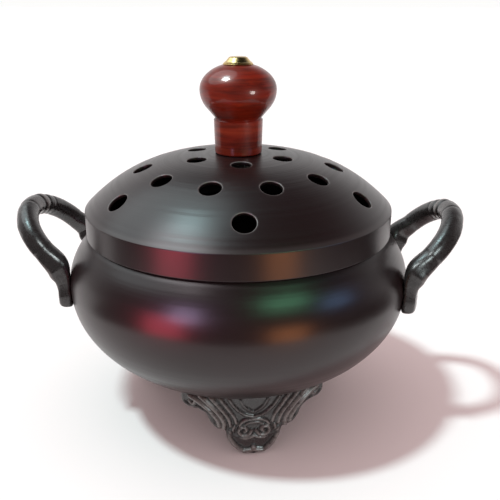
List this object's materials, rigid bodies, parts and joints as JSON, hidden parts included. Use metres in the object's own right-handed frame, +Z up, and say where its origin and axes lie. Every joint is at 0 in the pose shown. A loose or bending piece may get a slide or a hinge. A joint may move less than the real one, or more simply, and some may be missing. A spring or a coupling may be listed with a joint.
{
  "type": "table censer",
  "caption": "Round lacquered metal table censer on three cast feet, with two loop handles, a vented dome lid that lifts off by a turned wooden knob, and a loose charcoal pan inside",
  "frame": {"origin": "on the table, on the bowl's axis, in the plane of the three feet", "axes": "+Z up along the bowl's axis; the two handles lie along +X and -X; -Y is the front, where one foot stands, turned 10 degrees towards +X"},
  "size_m": [0.1764, 0.1356, 0.1419],
  "materials": {
    "lacquer": "dark brown-black satin lacquer over spun metal, with faint spinning lines",
    "cast": "dark bronzed cast metal, worn lighter on raised edges",
    "wood": "glossy red-brown lacquered turned wood",
    "brass": "polished brass",
    "steel": "plain plated steel"
  },
  "bodies": {
    "bowl": {"bowl_shell": "lacquer", "handle_left": "cast", "handle_right": "cast", "handle_screw_left_front": "steel", "handle_screw_left_back": "steel", "handle_screw_right_front": "steel", "handle_screw_right_back": "steel", "handle_washer_left_front": "steel", "handle_washer_left_back": "steel", "handle_washer_right_front": "steel", "handle_washer_right_back": "steel", "foot_front": "cast", "foot_back_right": "cast", "foot_back_left": "cast", "foot_screw_front_1": "steel", "foot_screw_front_2": "steel", "foot_screw_back_right_1": "steel", "foot_screw_back_right_2": "steel", "foot_screw_back_left_1": "steel", "foot_screw_back_left_2": "steel", "foot_washer_front_1": "steel", "foot_washer_front_2": "steel", "foot_washer_back_right_1": "steel", "foot_washer_back_right_2": "steel", "foot_washer_back_left_1": "steel", "foot_washer_back_left_2": "steel"},
    "lid": {"lid_shell": "lacquer", "knob": "wood", "knob_stud": "steel", "knob_cap_nut": "brass", "knob_cap_washer": "brass", "lid_washer": "steel", "lid_nut": "steel"},
    "pan": {"charcoal_pan": "steel"}
  },
  "joints": [
    {"name": "lid_lift", "type": "slide", "parent": "bowl", "child": "lid", "axis": [0, 0, 1], "range_m": [0, 0.08]},
    {"name": "pan_lift", "type": "slide", "parent": "bowl", "child": "pan", "axis": [0, 0, 1], "range_m": [0, 0.025]}
  ]
}
